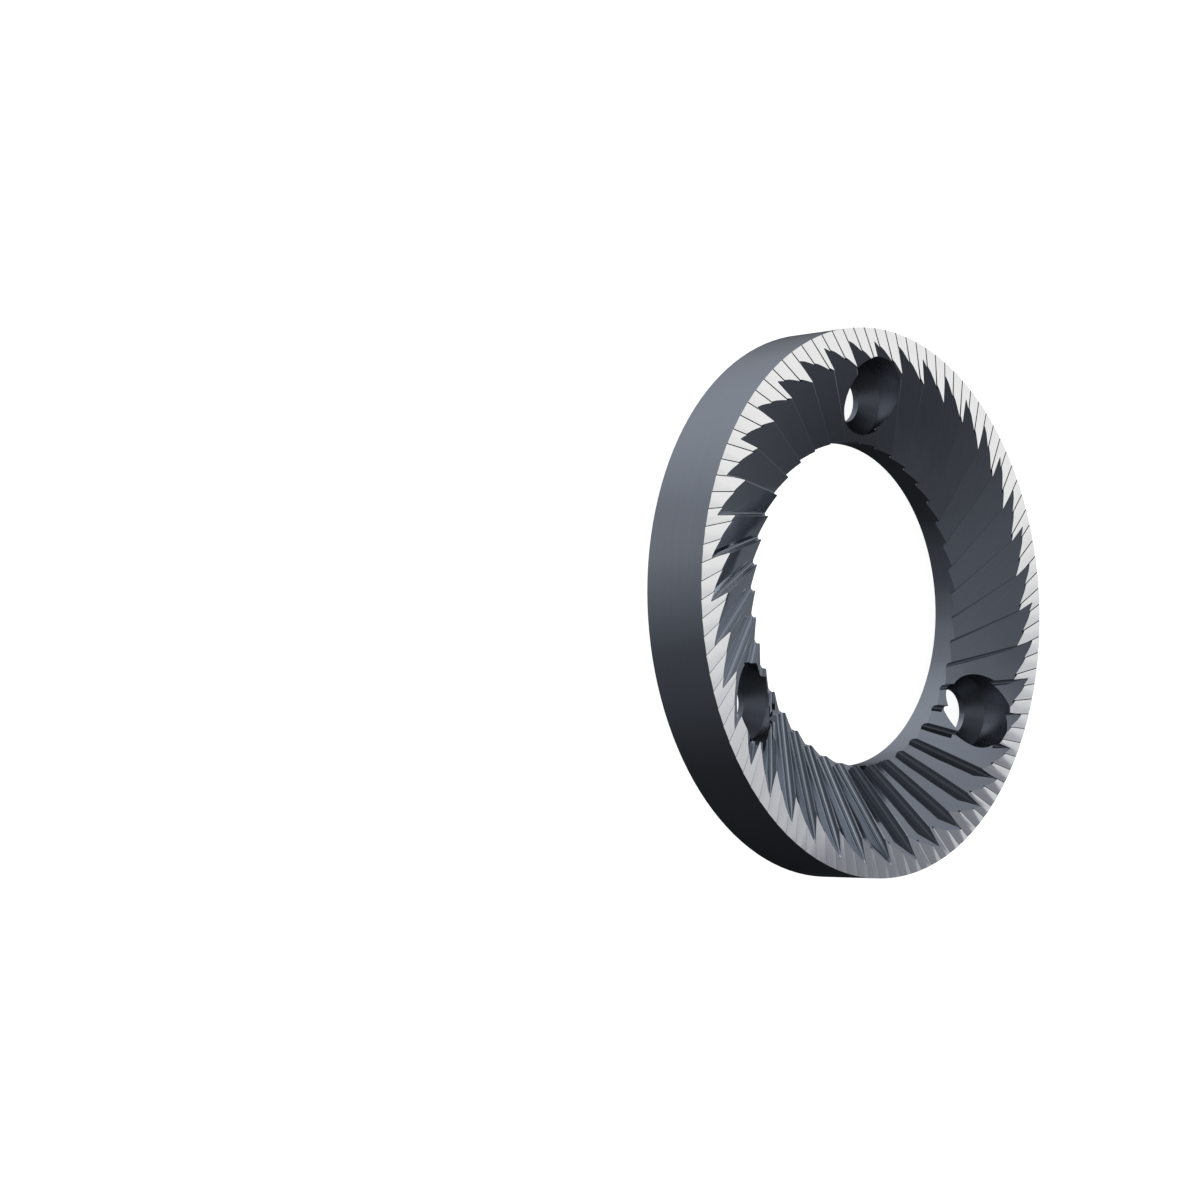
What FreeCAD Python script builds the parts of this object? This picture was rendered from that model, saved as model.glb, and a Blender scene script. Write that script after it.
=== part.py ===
import FreeCAD, Part
import os

import Sketcher

# Flat coffee grinder burr: one hardened steel ring that lies on its back with the teeth up.
# The origin is the centre of the back seat, +Z points out of the toothed face, and one screw
# hole lies on +X. Forty coarse teeth break the beans and a hundred fine ones finish them.
# Every tooth wall runs along a straight line that passes the axis at a fixed offset, so its
# place along the wall is a distance from the tip, measured inwards: its station.

# Driving dimensions in millimetres and degrees.
DIMENSIONS = [
    ("outer_diameter", "64.0"),
    ("overall_height", "8.1"),
    ("bore_diameter", "38.0"),
    ("back_relief_depth", "1.65"),
    ("seat_ring_width", "3.0"),
    ("back_chamfer", "0.2"),
    ("tooth_tip_diameter", "61.2"),
    ("coarse_teeth", "40"),
    ("coarse_wall_offset", "10.5"),
    ("root_depth_at_bore", "4.16"),
    ("facet_angle_at_tip", "18.3"),
    ("facet_angle_at_bore", "29.75"),
    ("root_floor_width", "0.15"),
    ("coarse_cutter_width", "5.0"),
    ("coarse_cutter_lead", "3.0"),
    ("coarse_cutter_trail", "3.2"),
    ("coarse_cutter_rise", "4.5"),
    ("fine_teeth", "100"),
    ("fine_wall_offset", "12.9"),
    ("fine_land_width", "1.0"),
    ("fine_inner_diameter", "53.2"),
    ("fine_relief_angle", "3.5"),
    ("fine_groove_width", "0.1"),
    ("fine_groove_depth", "0.04"),
    ("fine_cutter_margin", "0.4"),
    ("screw_holes", "3"),
    ("screw_circle_diameter", "48.6"),
    ("screw_hole_diameter", "5.5"),
    ("screw_head_diameter", "9.0"),
    ("screw_head_depth", "3.9"),
    ("screw_head_angle", "90.0"),
]

# Sizes worked out from the driving ones. A reach is how far along a wall's line a circle lies.
DERIVED = [
    ("coarse_turn", "=asin(2 * coarse_wall_offset / tooth_tip_diameter) / 1 deg"),
    ("tip_reach", "=sqrt((tooth_tip_diameter / 2)^2 - coarse_wall_offset^2)"),
    ("bore_reach", "=sqrt((bore_diameter / 2)^2 - coarse_wall_offset^2)"),
    ("tooth_run", "=tip_reach - bore_reach"),
    ("slope_at_tip", "=tan(facet_angle_at_tip * 1 deg)"),
    ("slope_at_bore", "=tan(facet_angle_at_bore * 1 deg)"),
    ("cutter_top", "=overall_height + coarse_cutter_rise"),
    ("lead_station", "=-coarse_cutter_lead"),
    ("trail_station", "=tooth_run + coarse_cutter_trail"),
    ("fine_turn", "=asin(2 * fine_wall_offset / tooth_tip_diameter) / 1 deg"),
    ("fine_slope", "=tan(fine_relief_angle * 1 deg)"),
    ("fine_face_top", "=overall_height + fine_cutter_margin"),
    ("fine_run_out", "=overall_height + fine_cutter_margin * fine_slope"),
    ("inner_reach", "=sqrt((fine_inner_diameter / 2)^2 - fine_wall_offset^2)"),
    ("outside_reach",
     "=sqrt((outer_diameter / 2)^2 - fine_wall_offset^2) + fine_cutter_margin"),
]

# A fine tooth's flat land is widest at the rim and runs out to nothing at the inner diameter.
# Its far edge bounds the next tooth's relief, so it is worked out from that tooth's wall line,
# one tooth round: how far along the line it lies, and its gap across from the line.
DERIVED += [
    ("fine_step", "=360 / fine_teeth"),
    ("land_offset", "=fine_wall_offset + fine_land_width"),
    ("land_reach", "=sqrt((outer_diameter / 2)^2 - land_offset^2)"),
    ("land_rim_reach",
     "=land_reach * cos(fine_step * 1 deg) + land_offset * sin(fine_step * 1 deg)"),
    ("land_rim_gap",
     "=land_reach * sin(fine_step * 1 deg) - land_offset * cos(fine_step * 1 deg)"
     " + fine_wall_offset"),
    ("land_end_reach",
     "=inner_reach * cos(fine_step * 1 deg) + fine_wall_offset * sin(fine_step * 1 deg)"),
    ("land_end_gap",
     "=inner_reach * sin(fine_step * 1 deg) - fine_wall_offset * cos(fine_step * 1 deg)"
     " + fine_wall_offset"),
    ("gap_growth",
     "=(land_end_gap - land_rim_gap) / (land_rim_reach - land_end_reach)"),
]
for end in ("outside", "inner"):
    DERIVED += [
        (f"{end}_gap", f"=land_rim_gap + gap_growth * (land_rim_reach - {end}_reach)"),
        (f"{end}_foot", f"=overall_height - {end}_gap * fine_slope"),
        (f"{end}_groove_floor", f"={end}_foot - fine_groove_depth"),
        (f"{end}_groove_side", f"={end}_foot + fine_groove_width * fine_slope"),
    ]

# The slope across a facet grows evenly from the tip to the bore, which twists the facet.
for end in ("lead", "trail"):
    DERIVED += [
        (f"{end}_reach", f"=tip_reach - {end}_station"),
        (f"{end}_slope",
         f"=slope_at_tip + (slope_at_bore - slope_at_tip) * {end}_station / tooth_run"),
        (f"{end}_root", f"=overall_height - root_depth_at_bore * {end}_station / tooth_run"),
        (f"{end}_floor", f"={end}_root + {end}_slope * root_floor_width"),
        (f"{end}_side", f"={end}_root + {end}_slope * coarse_cutter_width"),
    ]

doc = FreeCAD.newDocument("coffee_grinder_burr")
sheet = doc.addObject("Spreadsheet::Sheet", "sizes")
for row, (alias, content) in enumerate(DIMENSIONS + DERIVED, start=1):
    sheet.set(f"A{row}", alias)
    sheet.set(f"B{row}", content)
    sheet.setAlias(f"B{row}", alias)
    doc.recompute()

body = doc.addObject("PartDesign::Body", "burr")
body.Label = "burr"


def size(alias):
    """Return a size from the sheet as a plain number."""
    return float(sheet.get(alias))


def origin_feature(role):
    """Return the body's own origin plane or axis with this role."""
    for feature in body.Origin.OriginFeatures:
        if feature.Role == role:
            return feature
    raise RuntimeError("no origin feature " + role)


def new_sketch(name, role):
    """Return an empty sketch on one of the body's origin planes."""
    sketch = body.newObject("Sketcher::SketchObject", name)
    sketch.AttachmentSupport = [(origin_feature(role), "")]
    sketch.MapMode = "FlatFace"
    return sketch


def add_polygon(sketch, points):
    """Draw a closed outline through the points and join its corners."""
    count = len(points)
    for index in range(count):
        start = FreeCAD.Vector(*points[index], 0)
        finish = FreeCAD.Vector(*points[(index + 1) % count], 0)
        sketch.addGeometry(Part.LineSegment(start, finish), False)
    for index in range(count):
        following = (index + 1) % count
        sketch.addConstraint(Sketcher.Constraint("Coincident", index, 2, following, 1))


def level(sketch, horizontal=(), vertical=()):
    """Hold some lines of a sketch horizontal and others vertical."""
    for line in horizontal:
        sketch.addConstraint(Sketcher.Constraint("Horizontal", line))
    for line in vertical:
        sketch.addConstraint(Sketcher.Constraint("Vertical", line))


def bind(sketch, kind, geometry, start_value, expression):
    """Add one sized constraint and tie it to the sheet."""
    index = sketch.addConstraint(Sketcher.Constraint(kind, *geometry, start_value))
    sketch.setExpression(f"Constraints[{index}]", expression)


def stand_across_wall(sketch, turn_alias, reach_alias):
    """Stand a sketch square to a tooth wall's line, at a reach along it, facing outwards.

    The sketch's X is then the distance across the line from the axis, so the wall is at minus
    its offset, and its Y is the height above the back seat.
    """
    turn = f"(sizes.{turn_alias} * 1 deg)"
    reach = f"sizes.{reach_alias} * 1 mm"
    sketch.AttachmentOffset = FreeCAD.Placement(
        FreeCAD.Vector(0, 0, 0),
        FreeCAD.Rotation(FreeCAD.Vector(0, 1, 0), size(turn_alias)),
    )
    sketch.setExpression("AttachmentOffset.Rotation.Angle", f"sizes.{turn_alias} * 1 deg")
    sketch.setExpression("AttachmentOffset.Base.x", f"{reach} * sin{turn}")
    sketch.setExpression("AttachmentOffset.Base.z", f"{reach} * cos{turn}")


def repeat_round_axis(name, feature, count_alias):
    """Repeat a feature evenly round the burr's axis."""
    pattern = body.newObject("PartDesign::PolarPattern", name)
    pattern.Originals = [feature]
    pattern.Axis = (origin_feature("Z_Axis"), [""])
    pattern.Angle = 360.0
    pattern.Occurrences = int(size(count_alias))
    pattern.setExpression("Occurrences", f"sizes.{count_alias}")
    body.Tip = pattern
    doc.recompute()
    return pattern


def make_ring():
    """Turn the blank: a flat ring, bored through, whose back is relieved inside its seat."""
    outer = size("outer_diameter") / 2
    bore = size("bore_diameter") / 2
    top = size("overall_height")
    relief = size("back_relief_depth")
    chamfer = size("back_chamfer")
    seat = outer - size("seat_ring_width")
    sketch = new_sketch("ring_section", "XZ_Plane")
    add_polygon(sketch, [
        (bore, relief),
        (seat, relief),
        (seat, 0.0),
        (outer - chamfer, 0.0),
        (outer, chamfer),
        (outer, top),
        (bore, top),
    ])
    level(sketch, horizontal=(0, 2, 5), vertical=(1, 4, 6))
    sketch.addConstraint(Sketcher.Constraint("PointOnObject", 2, 1, -1))
    bind(sketch, "DistanceX", (-1, 1, 0, 1), bore, "sizes.bore_diameter / 2")
    bind(sketch, "DistanceX", (-1, 1, 4, 1), outer, "sizes.outer_diameter / 2")
    bind(sketch, "DistanceX", (2, 1, 4, 1), outer - seat, "sizes.seat_ring_width")
    bind(sketch, "DistanceY", (-1, 1, 0, 1), relief, "sizes.back_relief_depth")
    bind(sketch, "DistanceY", (-1, 1, 5, 1), top, "sizes.overall_height")
    bind(sketch, "DistanceX", (3, 1, 3, 2), chamfer, "sizes.back_chamfer")
    bind(sketch, "DistanceY", (3, 1, 3, 2), chamfer, "sizes.back_chamfer")
    ring = body.newObject("PartDesign::Revolution", "ring")
    ring.Profile = sketch
    ring.ReferenceAxis = (sketch, ["V_Axis"])
    ring.Angle = 360.0
    doc.recompute()
    return ring


def fine_section(end):
    """Draw the fine cutter's section at one end: wall, groove at its foot, rising relief."""
    wall = -size("fine_wall_offset")
    top = size("fine_face_top")
    floor = size(f"{end}_groove_floor")
    side = size(f"{end}_groove_side")
    run_out = size("fine_run_out")
    groove = size("fine_groove_width")
    width = size(f"{end}_gap") + size("fine_cutter_margin")
    sketch = new_sketch(f"fine_tooth_{end}", "YZ_Plane")
    stand_across_wall(sketch, "fine_turn", f"{end}_reach")
    add_polygon(sketch, [
        (wall, top),
        (wall, floor),
        (wall + groove, side),
        (wall + width, run_out),
        (wall + width, top),
    ])
    level(sketch, horizontal=(4,), vertical=(0, 3))
    bind(sketch, "DistanceX", (0, 1, -1, 1), -wall, "sizes.fine_wall_offset")
    bind(sketch, "DistanceX", (0, 1, 2, 1), groove, "sizes.fine_groove_width")
    bind(sketch, "DistanceX", (0, 1, 3, 1), width,
         f"sizes.{end}_gap + sizes.fine_cutter_margin")
    bind(sketch, "DistanceY", (-1, 1, 0, 1), top, "sizes.fine_face_top")
    bind(sketch, "DistanceY", (-1, 1, 0, 2), floor, f"sizes.{end}_groove_floor")
    bind(sketch, "DistanceY", (-1, 1, 2, 1), side, f"sizes.{end}_groove_side")
    bind(sketch, "DistanceY", (-1, 1, 3, 1), run_out, "sizes.fine_run_out")
    return sketch


def make_fine_teeth():
    """Cut the fine saw teeth: each relief is ruled between its sections past rim and lands."""
    outside = fine_section("outside")
    inner = fine_section("inner")
    doc.recompute()
    relief = body.newObject("PartDesign::SubtractiveLoft", "fine_relief")
    relief.Profile = outside
    relief.Sections = [inner]
    relief.Ruled = True
    relief.Closed = False
    doc.recompute()
    return repeat_round_axis("fine_relief_row", relief, "fine_teeth")


def coarse_section(end):
    """Draw the coarse cutter's section at one end: wall, narrow root floor, sloping facet."""
    wall = -size("coarse_wall_offset")
    far = wall - size("coarse_cutter_width")
    top = size("cutter_top")
    floor = size(f"{end}_floor")
    side = size(f"{end}_side")
    floor_width = size("root_floor_width")
    sketch = new_sketch(f"coarse_tooth_{end}", "YZ_Plane")
    stand_across_wall(sketch, "coarse_turn", f"{end}_reach")
    add_polygon(sketch, [
        (wall, floor),
        (wall, top),
        (far, top),
        (far, side),
        (wall - floor_width, floor),
    ])
    level(sketch, horizontal=(1, 4), vertical=(0, 2))
    bind(sketch, "DistanceX", (0, 1, -1, 1), -wall, "sizes.coarse_wall_offset")
    bind(sketch, "DistanceX", (4, 1, 0, 1), floor_width, "sizes.root_floor_width")
    bind(sketch, "DistanceX", (2, 1, 1, 1), wall - far, "sizes.coarse_cutter_width")
    bind(sketch, "DistanceY", (-1, 1, 0, 1), floor, f"sizes.{end}_floor")
    bind(sketch, "DistanceY", (-1, 1, 1, 1), top, "sizes.cutter_top")
    bind(sketch, "DistanceY", (-1, 1, 3, 1), side, f"sizes.{end}_side")
    return sketch


def make_coarse_teeth():
    """Cut the coarse teeth: each gullet is ruled between its sections past tip and bore."""
    lead = coarse_section("lead")
    trail = coarse_section("trail")
    doc.recompute()
    gullet = body.newObject("PartDesign::SubtractiveLoft", "coarse_gullet")
    gullet.Profile = lead
    gullet.Sections = [trail]
    gullet.Ruled = True
    gullet.Closed = False
    doc.recompute()
    return repeat_round_axis("coarse_gullet_row", gullet, "coarse_teeth")


def make_screw_holes():
    """Sink the screw holes: a straight head recess, its cone, and the clearance hole."""
    sketch = new_sketch("screw_hole_centre", "XY_Plane")
    sketch.AttachmentOffset = FreeCAD.Placement(
        FreeCAD.Vector(0, 0, size("overall_height")), FreeCAD.Rotation())
    sketch.setExpression("AttachmentOffset.Base.z", "sizes.overall_height * 1 mm")
    centre = FreeCAD.Vector(size("screw_circle_diameter") / 2, 0, 0)
    radius = size("screw_hole_diameter") / 2
    sketch.addGeometry(Part.Circle(centre, FreeCAD.Vector(0, 0, 1), radius), False)
    sketch.addConstraint(Sketcher.Constraint("PointOnObject", 0, 3, -1))
    bind(sketch, "DistanceX", (-1, 1, 0, 3), centre.x, "sizes.screw_circle_diameter / 2")
    bind(sketch, "Radius", (0,), radius, "sizes.screw_hole_diameter / 2")
    doc.recompute()
    hole = body.newObject("PartDesign::Hole", "screw_hole")
    hole.Profile = sketch
    doc.recompute()
    hole.Threaded = False
    hole.DepthType = "ThroughAll"
    hole.HoleCutType = "Counterdrill"
    hole.HoleCutCustomValues = True
    hole.setExpression("Diameter", "sizes.screw_hole_diameter * 1 mm")
    hole.setExpression("HoleCutDiameter", "sizes.screw_head_diameter * 1 mm")
    hole.setExpression("HoleCutDepth", "sizes.screw_head_depth * 1 mm")
    hole.setExpression("HoleCutCountersinkAngle", "sizes.screw_head_angle * 1 deg")
    doc.recompute()
    return repeat_round_axis("screw_hole_row", hole, "screw_holes")


def check_document():
    """Stop unless every feature computed and the burr is one valid solid."""
    for item in doc.Objects:
        if "Invalid" in item.State or "Error" in item.State:
            raise RuntimeError(f"{item.Name} failed: {item.State}")
    shape = body.Shape
    if shape.isNull() or not shape.isValid():
        raise RuntimeError("the burr's shape is not valid")
    if len(shape.Solids) != 1:
        raise RuntimeError(f"the burr has {len(shape.Solids)} solids")


volumes = []
for step in (make_ring, make_fine_teeth, make_coarse_teeth, make_screw_holes):
    made = step()
    volumes.append(made.Shape.Volume)
    print(made.Name, "volume", round(volumes[-1], 2), "faces", len(made.Shape.Faces))
for before, after in zip(volumes[:-1], volumes[1:]):
    if after >= before:
        raise RuntimeError("a cutting step removed nothing")
check_document()

os.makedirs("parts", exist_ok=True)
body.Shape.exportStep(f"parts/{body.Label}.step")
box = body.Shape.BoundBox
print("box", [round(v, 4) for v in (box.XMin, box.YMin, box.ZMin, box.XMax, box.YMax, box.ZMax)])
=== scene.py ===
"""Dresses the flat coffee grinder burr as hard ground steel and lights it in a pale studio."""
import logging
import math
from dataclasses import dataclass, field, replace
from enum import IntEnum
from typing import Sequence

import bmesh
import bpy
import numpy as np
from mathutils import Matrix, Vector


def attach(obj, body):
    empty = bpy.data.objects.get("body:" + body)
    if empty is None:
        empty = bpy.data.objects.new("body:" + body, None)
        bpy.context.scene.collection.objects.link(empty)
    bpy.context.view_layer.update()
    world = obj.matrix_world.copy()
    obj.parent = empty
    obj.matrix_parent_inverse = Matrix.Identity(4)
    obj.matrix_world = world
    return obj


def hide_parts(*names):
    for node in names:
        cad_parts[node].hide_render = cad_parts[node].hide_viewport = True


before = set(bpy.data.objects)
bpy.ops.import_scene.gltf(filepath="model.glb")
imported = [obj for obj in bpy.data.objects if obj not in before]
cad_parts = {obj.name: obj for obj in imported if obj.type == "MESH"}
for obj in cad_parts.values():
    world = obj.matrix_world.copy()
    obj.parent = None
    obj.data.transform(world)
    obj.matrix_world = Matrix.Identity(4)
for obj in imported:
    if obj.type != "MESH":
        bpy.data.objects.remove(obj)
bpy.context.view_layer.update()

Pair = tuple[float, float]
Triple = tuple[float, float, float]

MM = 0.001
GRAIN = "grain"
# The share of a place's height that joins its distance across the tool marks of the teeth.
RISE_IN_GRAIN = 0.7
# A little over and a little under a stated radius, for faces that lie on it.
JUST_OVER, JUST_UNDER = 1.01, 0.99
# The part of a pitch that keeps a place on a tooth's line from counting as the next tooth's.
ROUNDING = 1e-6
# The least length that anything is divided by, in metres.
TINY = 1e-9
# The colour sockets of a Mix node, by number, because its other data types share their names.
MIX_FIRST, MIX_SECOND, MIX_RESULT = 6, 7, 2

log = logging.getLogger("burr")


class Surface(IntEnum):
    """The machined surfaces of the burr, in the order of their material slots."""

    GROUND = 0
    MILLED = 1
    TURNED = 2
    DRILLED = 3
    GROOVED = 4
    COUNTERSUNK = 5


class Meeting(IntEnum):
    """The two places where a tooth's line meets a circle."""

    TIPWARD = 1
    BOREWARD = -1


def place_object(name: str, data: bpy.types.ID) -> bpy.types.Object:
    """Make an object at the origin and add it to the scene.

    Args:
        name: The object's name.
        data: Its mesh, camera or light.

    Returns:
        The new object.
    """
    placed = bpy.data.objects.new(name, data)
    bpy.context.scene.collection.objects.link(placed)
    return placed


class Graph:
    """A small helper that adds and joins the nodes of one node tree."""

    def __init__(self, tree: bpy.types.NodeTree) -> None:
        """Clear the tree and keep it.

        Args:
            tree: The node tree of a material or of the world.
        """
        self.tree = tree
        self.tree.nodes.clear()

    def add(self, kind: str, **values: object) -> bpy.types.Node:
        """Add a node and set its properties and inputs.

        Args:
            kind: The node's type name.
            values: Properties by name, or inputs by name with an underscore for each space.

        Returns:
            The new node.
        """
        node = self.tree.nodes.new(kind)
        for name, value in values.items():
            if hasattr(node, name):
                setattr(node, name, value)
            else:
                node.inputs[name.replace("_", " ")].default_value = value
        return node

    def join(self, source: bpy.types.NodeSocket, target: bpy.types.NodeSocket) -> None:
        """Link one output to one input."""
        self.tree.links.new(source, target)

    def math(self, operation: str, *inputs: object) -> bpy.types.NodeSocket:
        """Add a Math node whose inputs are sockets or numbers.

        Args:
            operation: The node's operation.
            inputs: One or two sockets or numbers.

        Returns:
            The result socket.
        """
        node = self.add("ShaderNodeMath", operation=operation)
        for socket, value in zip(node.inputs, inputs):
            if isinstance(value, bpy.types.NodeSocket):
                self.join(value, socket)
            else:
                socket.default_value = value
        return node.outputs[0]

    def dot(self, vector: bpy.types.NodeSocket, axis: Sequence[float]) -> bpy.types.NodeSocket:
        """Take the dot product of a vector with a fixed axis.

        Args:
            vector: The vector's socket.
            axis: The three parts of the axis.

        Returns:
            The result socket.
        """
        node = self.add("ShaderNodeVectorMath", operation="DOT_PRODUCT")
        self.join(vector, node.inputs[0])
        node.inputs[1].default_value = tuple(axis)
        return node.outputs["Value"]

    def blend(self, value: bpy.types.NodeSocket, low: float, high: float, start: float = 0.0,
              end: float = 1.0) -> bpy.types.NodeSocket:
        """Map a value smoothly from low..high to start..end, held at both ends.

        Args:
            value: The socket to map.
            low: The value that gives start.
            high: The value that gives end.
            start: The result at low.
            end: The result at high.

        Returns:
            The mapped socket.
        """
        node = self.add("ShaderNodeMapRange", interpolation_type="SMOOTHSTEP")
        self.join(value, node.inputs["Value"])
        for name, number in (("From Min", low), ("From Max", high), ("To Min", start),
                             ("To Max", end)):
            node.inputs[name].default_value = number
        return node.outputs["Result"]

    def colour(self, value: Triple) -> bpy.types.NodeSocket:
        """Hold one fixed colour.

        Args:
            value: The colour's three parts.

        Returns:
            The colour socket.
        """
        node = self.add("ShaderNodeRGB")
        node.outputs[0].default_value = (*value, 1.0)
        return node.outputs[0]

    def mix(self, kind: str, share: bpy.types.NodeSocket, first: bpy.types.NodeSocket,
            second: bpy.types.NodeSocket) -> bpy.types.NodeSocket:
        """Mix two colours.

        Args:
            kind: The Mix node's way of blending.
            share: How far the second colour counts, from 0 to 1.
            first: The first colour.
            second: The second colour.

        Returns:
            The colour socket.
        """
        node = self.add("ShaderNodeMix", data_type="RGBA", blend_type=kind)
        self.join(share, node.inputs["Factor"])
        self.join(first, node.inputs[MIX_FIRST])
        self.join(second, node.inputs[MIX_SECOND])
        return node.outputs[MIX_RESULT]

    def ramp(self, value: bpy.types.NodeSocket,
             stops: Sequence[tuple[float, Triple]]) -> bpy.types.NodeSocket:
        """Colour a value through a ramp.

        Args:
            value: The socket that runs from 0 to 1.
            stops: Places and colours along the ramp.

        Returns:
            The colour socket.
        """
        node = self.add("ShaderNodeValToRGB")
        elements = node.color_ramp.elements
        while len(elements) < len(stops):
            elements.new(0.5)
        for element, (place, colour) in zip(elements, stops):
            element.position = place
            element.color = (*colour, 1.0)
        self.join(value, node.inputs["Fac"])
        return node.outputs["Color"]


@dataclass(frozen=True)
class SteelFinish:
    """One machined finish of the same hardened steel, with tool marks along the grain. The
    near-black tints of the fine grooves and the countersunk cones are painted shade.

    Attributes:
        name: The material's name.
        light: The tint where the marks and clouds are high.
        dark: The tint where they are low.
        smooth: The roughness where the marks are low.
        rough: The roughness where they are high.
        across: How fine the marks are across the grain, per metre.
        along: How fine they are along it, per metre.
        bump: How strongly they lift the surface.
        cloud: How fine the clouds in the tint are, per metre.
        detail: How many finer layers the marks have.
        layering: How much each finer layer counts.
        cloud_detail: How many finer layers the clouds have.
        marks_share: How much the marks count in the tint.
        cloud_share: How much the clouds count in it.
        tint_span: The levels of noise that give the dark and the light tint.
        gloss_span: The levels of noise that give the smooth and the rough end.
        depth: The height of the marks, in metres.
    """

    name: str
    light: Triple
    dark: Triple
    smooth: float
    rough: float
    across: float
    along: float
    bump: float
    cloud: float = 90.0
    detail: float = 3.0
    layering: float = 0.65
    cloud_detail: float = 2.0
    marks_share: float = 0.7
    cloud_share: float = 0.3
    tint_span: Pair = (0.3, 0.7)
    gloss_span: Pair = (0.25, 0.75)
    depth: float = 0.02 * MM

    def material(self) -> bpy.types.Material:
        """Build the finish as nodes.

        Tool marks are noise on the grain attribute, whose first part runs across the marks and
        is stretched far more than the two that run along them. They lift the surface, and vary
        its roughness and tint. A slower noise on object coordinates clouds the tint.

        Returns:
            The finished material.
        """
        material = bpy.data.materials.new(self.name)
        material.use_nodes = True
        graph = Graph(material.node_tree)
        output = graph.add("ShaderNodeOutputMaterial")
        shader = graph.add("ShaderNodeBsdfPrincipled", Metallic=1.0)
        graph.join(shader.outputs["BSDF"], output.inputs["Surface"])

        grain = graph.add("ShaderNodeAttribute", attribute_name=GRAIN)
        stretch = graph.add("ShaderNodeMapping", Scale=(self.across, self.along, self.along))
        graph.join(grain.outputs["Vector"], stretch.inputs["Vector"])
        marks = graph.add("ShaderNodeTexNoise", Scale=1.0, Detail=self.detail,
                          Roughness=self.layering)
        graph.join(stretch.outputs["Vector"], marks.inputs["Vector"])

        place = graph.add("ShaderNodeTexCoord")
        cloud = graph.add("ShaderNodeTexNoise", Scale=self.cloud, Detail=self.cloud_detail)
        graph.join(place.outputs["Object"], cloud.inputs["Vector"])

        low, high = self.tint_span
        mixed = graph.math("ADD", graph.math("MULTIPLY", marks.outputs["Fac"], self.marks_share),
                           graph.math("MULTIPLY", cloud.outputs["Fac"], self.cloud_share))
        tint = graph.ramp(mixed, ((low, self.dark), (high, self.light)))
        graph.join(tint, shader.inputs["Base Color"])
        gloss = graph.blend(marks.outputs["Fac"], *self.gloss_span, self.smooth, self.rough)
        graph.join(gloss, shader.inputs["Roughness"])
        bump = graph.add("ShaderNodeBump", Strength=self.bump, Distance=self.depth)
        graph.join(marks.outputs["Fac"], bump.inputs["Height"])
        graph.join(bump.outputs["Normal"], shader.inputs["Normal"])
        return material


MILLED_GULLETS = SteelFinish(
    "milled_gullets", light=(0.60, 0.625, 0.66), dark=(0.55, 0.575, 0.61), smooth=0.05,
    rough=0.09, across=5000.0, along=120.0, bump=0.01)

FINISHES: dict[Surface, SteelFinish] = {
    Surface.GROUND: SteelFinish(
        "ground_teeth", light=(0.68, 0.68, 0.68), dark=(0.63, 0.63, 0.635), smooth=0.05,
        rough=0.09, across=9000.0, along=150.0, bump=0.06),
    Surface.MILLED: MILLED_GULLETS,
    Surface.TURNED: replace(
        MILLED_GULLETS, name="turned_ring", smooth=0.10, rough=0.15, across=4000.0, along=60.0,
        bump=0.03),
    Surface.DRILLED: SteelFinish(
        "drilled_holes", light=(0.42, 0.44, 0.48), dark=(0.36, 0.38, 0.42), smooth=0.24,
        rough=0.32, across=4500.0, along=90.0, bump=0.02),
    # Near-black tint: painted shade in the fine grooves, not a colour of the steel.
    Surface.GROOVED: SteelFinish(
        "fine_grooves_painted_shade", light=(0.13, 0.14, 0.155), dark=(0.09, 0.10, 0.11), smooth=0.15,
        rough=0.25, across=9000.0, along=150.0, bump=0.03),
    # Near-black tint: painted shade in the recessed countersink cones, not a colour of the steel.
    Surface.COUNTERSUNK: SteelFinish(
        "countersinks_painted_shade", light=(0.13, 0.14, 0.155), dark=(0.105, 0.115, 0.125), smooth=0.30,
        rough=0.38, across=4500.0, along=90.0, bump=0.02),
}


@dataclass(frozen=True)
class ToothRow:
    """Teeth whose walls run along straight lines that pass the axis at a fixed offset."""

    count: int
    offset: float
    tip_radius: float

    @property
    def turn(self) -> float:
        """Return the angle from the radius at the first tooth's tip to its line."""
        return math.asin(self.offset / self.tip_radius)

    def numbers(self, points: np.ndarray) -> np.ndarray:
        """Give each point the number of the tooth that it lies on.

        The line of tooth k is at polar angle turn + k * pitch - asin(offset / radius), so the
        number is the polar angle, taken back along that curve, in pitches and rounded up.

        Args:
            points: Places, one per row.

        Returns:
            Whole tooth numbers as floats.
        """
        return np.ceil(self.pitches(points) - ROUNDING)

    def beside_line(self, points: np.ndarray, share: float) -> np.ndarray:
        """Tell which points lie within a share of the pitch from a tooth's line."""
        pitches = self.pitches(points)
        return np.abs(pitches - np.round(pitches)) < share

    def pitches(self, points: np.ndarray) -> np.ndarray:
        """Tell how far each point is swept from the first tooth's line.

        That is its polar angle plus asin(offset / radius) less turn, in pitches.

        Args:
            points: Places, one per row.

        Returns:
            One number of pitches for each place.
        """
        radius = np.maximum(np.hypot(points[:, 0], points[:, 1]), self.offset * JUST_OVER)
        swept = np.arctan2(points[:, 1], points[:, 0]) + np.arcsin(self.offset / radius) - self.turn
        return swept * self.count / math.tau

    def coordinates(self, points: np.ndarray, numbers: np.ndarray) -> tuple[np.ndarray, np.ndarray]:
        """Return how far each point lies along and across its tooth's line.

        Args:
            points: Places, one per row.
            numbers: The tooth number of each place.

        Returns:
            Distances along the line and across it.
        """
        angle = numbers * math.tau / self.count + self.turn
        along = points[:, 0] * np.cos(angle) + points[:, 1] * np.sin(angle)
        across = points[:, 0] * np.sin(angle) - points[:, 1] * np.cos(angle) - self.offset
        return along, across


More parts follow.
